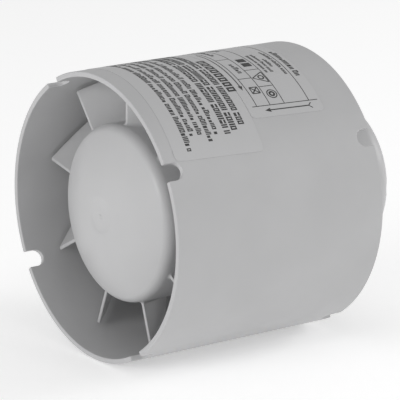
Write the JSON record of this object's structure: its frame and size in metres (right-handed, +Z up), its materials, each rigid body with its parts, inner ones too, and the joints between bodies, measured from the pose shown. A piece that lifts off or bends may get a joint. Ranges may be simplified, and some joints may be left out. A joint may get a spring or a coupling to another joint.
{
  "type": "inline duct fan",
  "caption": "Short plain-tube inline axial duct fan with a domed hub, twisted blades and a motor pod that stands out at the inlet.",
  "frame": {"origin": "on the fan axis, halfway along the casing", "axes": "+Y along the fan axis from outlet to inlet, +Z up, +X to the right looking into the outlet"},
  "size_m": [0.099, 0.1075, 0.0991],
  "materials": {
    "casing_plastic": "satin moulded ABS, light grey",
    "impeller_plastic": "satin moulded ABS, light grey",
    "label_film": "thin printed film, satin",
    "rubber": "matt black rubber",
    "insulating_plastic": "matt natural nylon",
    "terminal_plastic": "white polyamide",
    "shaft_steel": "ground steel",
    "fastener_steel": "zinc plated steel",
    "spring_steel": "blued spring steel",
    "lamination_steel": "stacked electrical steel",
    "bracket_metal": "die-cast alloy",
    "end_ring_metal": "cast aluminium",
    "copper": "enamelled copper",
    "brass": "bright brass",
    "bearing_bronze": "sintered bronze",
    "felt": "oiled felt",
    "wire_insulation": "insulated wire"
  },
  "bodies": {
    "housing": {"casing": "casing_plastic", "motor_frame": "casing_plastic", "terminal_cover": "casing_plastic", "stator_core": "lamination_steel", "shading_rings": "copper", "coil_bobbin": "insulating_plastic", "coil_winding": "copper", "thermal_fuse": "terminal_plastic", "lead_wires": "wire_insulation", "front_bearing_bracket": "bracket_metal", "rear_bearing_bracket": "bracket_metal", "front_bearing": "bearing_bronze", "rear_bearing": "bearing_bronze", "oil_felts": "felt", "bearing_retainers": "fastener_steel", "motor_screws": "fastener_steel", "vibration_bushes": "rubber", "terminal_plate": "insulating_plastic", "terminal_block": "terminal_plastic", "terminal_clamps": "brass", "terminal_screws": "fastener_steel", "cable_clamp": "insulating_plastic", "clamp_screws": "fastener_steel", "cable_grommet": "rubber", "cover_gasket": "rubber", "cover_screws": "fastener_steel", "notice_label": "label_film", "rating_label": "label_film"},
    "rotating_set": {"impeller_hub": "impeller_plastic", "impeller_blades": "impeller_plastic", "motor_shaft": "shaft_steel", "hub_clip": "spring_steel", "slinger_disc": "rubber", "thrust_washers": "insulating_plastic", "rotor_core": "lamination_steel", "rotor_end_rings": "end_ring_metal"}
  },
  "joints": [
    {"name": "impeller_spin", "type": "hinge", "parent": "housing", "child": "rotating_set", "pos_m": [0, 0, 0], "axis": [0, 1, 0], "continuous": true}
  ]
}
